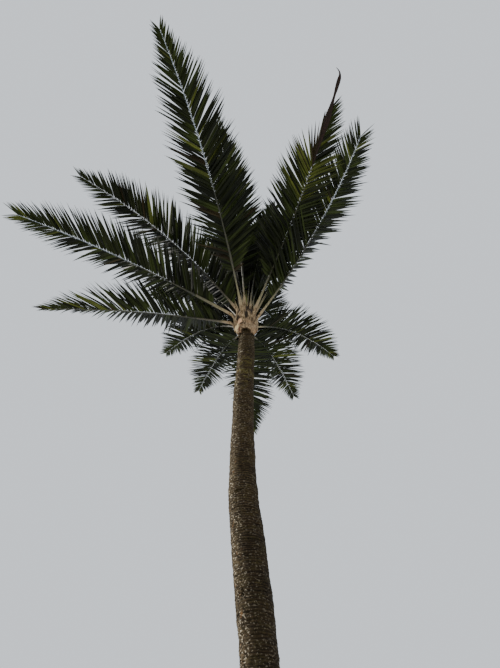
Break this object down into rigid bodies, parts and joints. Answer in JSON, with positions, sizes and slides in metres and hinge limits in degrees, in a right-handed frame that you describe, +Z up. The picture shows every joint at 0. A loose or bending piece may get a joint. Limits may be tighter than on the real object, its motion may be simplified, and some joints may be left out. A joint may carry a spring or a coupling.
{
  "type": "date palm tree",
  "caption": "Slender leaning palm tree with a ringed trunk flared at its foot, and a crown of arching feather fronds with stiff narrow leaflets round an unopened spear leaf.",
  "frame": {"origin": "middle of the flat cut of the trunk at ground level", "axes": "+Z up, -X the way the trunk leans, -Y the side that the picture is taken from"},
  "size_m": [4.8776, 6.4163, 9.3902],
  "materials": {
    "bark": "rough, ringed, weathered grey-brown",
    "leaf_base": "dry, fibrous, tan",
    "leaf": "satin, dark green",
    "spear": "satin, yellow-green"
  },
  "bodies": {
    "root": {"trunk": "bark", "crown_head": "leaf_base", "spear_leaf": "spear", "frond_overhead": "leaf", "frond_upper_left": "leaf", "frond_far_left": "leaf", "frond_level_left": "leaf", "frond_half_open": "leaf", "frond_upper_right": "leaf", "frond_steep_front": "leaf", "frond_back_left": "leaf", "frond_back_mid_left": "leaf", "frond_back": "leaf", "frond_back_mid_right": "leaf", "frond_back_right": "leaf", "frond_high_left": "leaf", "frond_high_back_left": "leaf", "frond_high_back_right": "leaf", "frond_young_right": "leaf", "frond_young_front": "leaf", "frond_young_left": "leaf", "frond_young_back": "leaf"}
  },
  "joints": []
}
